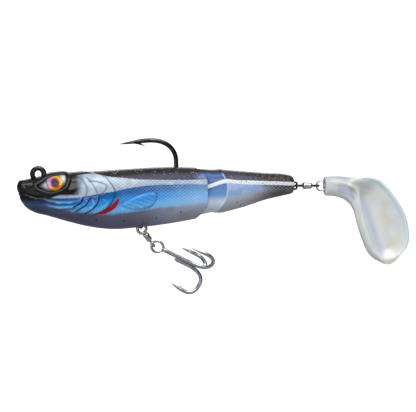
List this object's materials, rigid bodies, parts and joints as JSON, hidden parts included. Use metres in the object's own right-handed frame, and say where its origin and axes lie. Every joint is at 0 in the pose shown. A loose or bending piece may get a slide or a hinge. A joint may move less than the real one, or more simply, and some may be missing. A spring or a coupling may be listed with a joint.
{
  "type": "swimbait",
  "caption": "Jointed soft-bodied fishing lure with a jig hook, a treble on a barrel swivel under the belly and a paddle tail on a second swivel.",
  "frame": {"origin": "centre of the line-tie eye on top of the head", "axes": "+X from the head to the tail, +Z to the back, +Y to the right flank"},
  "size_m": [0.1794, 0.0221, 0.0689],
  "materials": {
    "front_skin": "painted glossy soft PVC, blue flank, dark back, silver band",
    "rear_skin": "painted glossy soft PVC, blue flank, dark back, silver band",
    "tail_rubber": "pearl white translucent soft PVC",
    "nylon": "moulded nylon",
    "lead": "bare cast lead",
    "black_nickel": "black nickel plated wire",
    "bright_steel": "bright tinned wire",
    "swivel_steel": "nickel plated brass",
    "eye_foil": "printed orange foil",
    "eye_dome": "clear glossy epoxy"
  },
  "bodies": {
    "front": {"front_skin": "front_skin", "main_hook": "black_nickel", "head_weight": "lead", "front_frame": "nylon", "belly_hanger": "black_nickel", "hinge_pin": "bright_steel", "left_eye_foil": "eye_foil", "left_eye_dome": "eye_dome", "right_eye_foil": "eye_foil", "right_eye_dome": "eye_dome"},
    "rear": {"rear_skin": "rear_skin", "rear_frame": "nylon", "tail_hanger": "black_nickel"},
    "belly_swivel_top": {"belly_swivel_upper_eye": "swivel_steel"},
    "belly_swivel_middle": {"belly_swivel_barrel": "swivel_steel"},
    "belly_swivel_bottom": {"belly_swivel_lower_eye": "swivel_steel"},
    "treble": {"treble_double_hook": "bright_steel", "treble_third_hook": "bright_steel"},
    "tail_swivel_front": {"tail_swivel_front_eye": "swivel_steel"},
    "tail_swivel_middle": {"tail_swivel_barrel": "swivel_steel"},
    "tail_swivel_rear": {"tail_swivel_rear_eye": "swivel_steel"},
    "split_ring": {"tail_split_ring": "bright_steel"},
    "tail": {"tail_anchor": "nylon", "tail_paddle": "tail_rubber"}
  },
  "joints": [
    {"name": "body_hinge", "type": "hinge", "parent": "front", "child": "rear", "pos_m": [0.078, 0, 0], "axis": [0, 0, 1], "range_deg": [-30, 30]},
    {"name": "belly_swivel_swing", "type": "hinge", "parent": "front", "child": "belly_swivel_top", "pos_m": [0.0466, 0, -0.0236], "axis": [0, 1, 0], "range_deg": [-15, 60]},
    {"name": "belly_barrel_spin", "type": "hinge", "parent": "belly_swivel_top", "child": "belly_swivel_middle", "pos_m": [0.04969, 0, -0.02785], "axis": [0.5878, 0, -0.809], "continuous": true},
    {"name": "belly_lower_eye_spin", "type": "hinge", "parent": "belly_swivel_middle", "child": "belly_swivel_bottom", "pos_m": [0.04969, 0, -0.02785], "axis": [0.5878, 0, -0.809], "continuous": true},
    {"name": "treble_swing", "type": "hinge", "parent": "belly_swivel_bottom", "child": "treble", "pos_m": [0.05268, 0, -0.03197], "axis": [0, 1, 0], "range_deg": [-10, 60]},
    {"name": "tail_swivel_swing", "type": "hinge", "parent": "rear", "child": "tail_swivel_front", "pos_m": [0.1182, 0, -0.005], "axis": [0, 0, 1], "range_deg": [-45, 45]},
    {"name": "tail_barrel_spin", "type": "hinge", "parent": "tail_swivel_front", "child": "tail_swivel_middle", "pos_m": [0.123, 0, -0.005], "axis": [1, 0, 0], "continuous": true},
    {"name": "tail_rear_eye_spin", "type": "hinge", "parent": "tail_swivel_middle", "child": "tail_swivel_rear", "pos_m": [0.123, 0, -0.005], "axis": [1, 0, 0], "continuous": true},
    {"name": "split_ring_swing", "type": "hinge", "parent": "tail_swivel_rear", "child": "split_ring", "pos_m": [0.1282, 0, -0.005], "axis": [0, 1, 0], "range_deg": [-45, 45]},
    {"name": "tail_swing", "type": "hinge", "parent": "split_ring", "child": "tail", "pos_m": [0.13175, 0, -0.005], "axis": [0, 0, 1], "range_deg": [-35, 35]}
  ]
}
